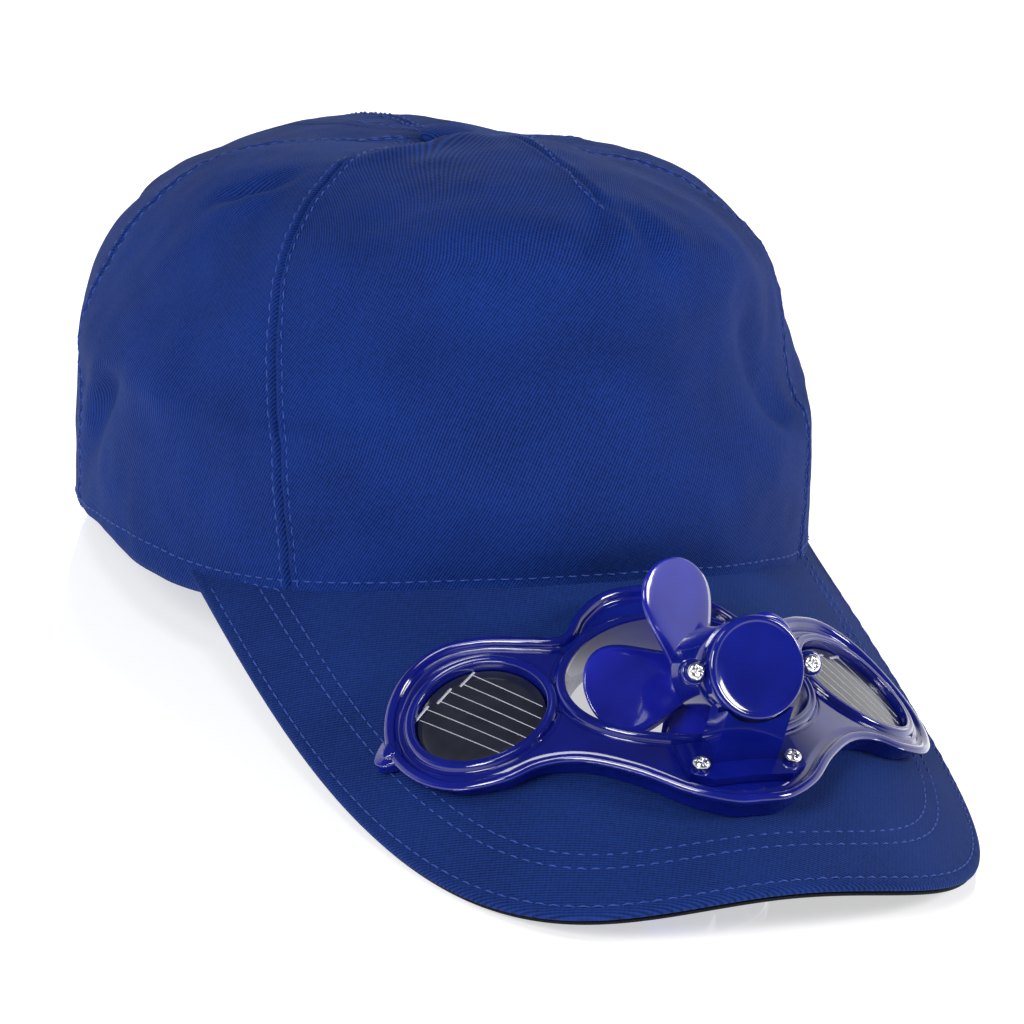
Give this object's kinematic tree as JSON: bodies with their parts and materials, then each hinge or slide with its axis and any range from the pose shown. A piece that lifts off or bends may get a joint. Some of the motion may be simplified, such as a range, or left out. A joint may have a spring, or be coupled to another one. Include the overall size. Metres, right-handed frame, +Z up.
{
  "type": "cooling hat",
  "caption": "Five-panel cloth cap with a solar-powered fan on its peak, resting on its rim and peak.",
  "frame": {"origin": "middle of the bounding box at the surface the cap rests on", "axes": "+Z up, -Y the way the wearer faces, +X the wearer's left"},
  "size_m": [0.1692, 0.2976, 0.1174],
  "materials": {
    "blue_twill": "cotton twill",
    "black_cloth": "plain weave",
    "blue_plastic": "gloss, slightly translucent",
    "solar_cell": "dark glazed silicon with silver lines",
    "steel": "bright"
  },
  "bodies": {
    "cap": {"front_panel": "blue_twill", "side_panel_left": "blue_twill", "side_panel_right": "blue_twill", "back_panel_left": "blue_twill", "back_panel_right": "blue_twill", "top_button": "blue_twill", "back_strap": "blue_twill", "peak_top": "blue_twill", "peak_underside": "black_cloth", "fan_frame": "blue_plastic", "end_tab": "blue_plastic", "motor_bracket": "blue_plastic", "motor_housing": "blue_plastic", "motor_cap": "blue_plastic", "solar_cell_left": "solar_cell", "solar_cell_right": "solar_cell", "bracket_screw_left": "steel", "bracket_screw_right": "steel", "cap_screw_left": "steel", "cap_screw_right": "steel"},
    "rotor": {"fan": "blue_plastic", "motor_shaft": "steel"}
  },
  "joints": [
    {"name": "fan_spin", "type": "hinge", "parent": "cap", "child": "rotor", "pos_m": [0.00004, -0.09178, 0.03497], "axis": [0, -0.8918, 0.4524], "continuous": true}
  ]
}
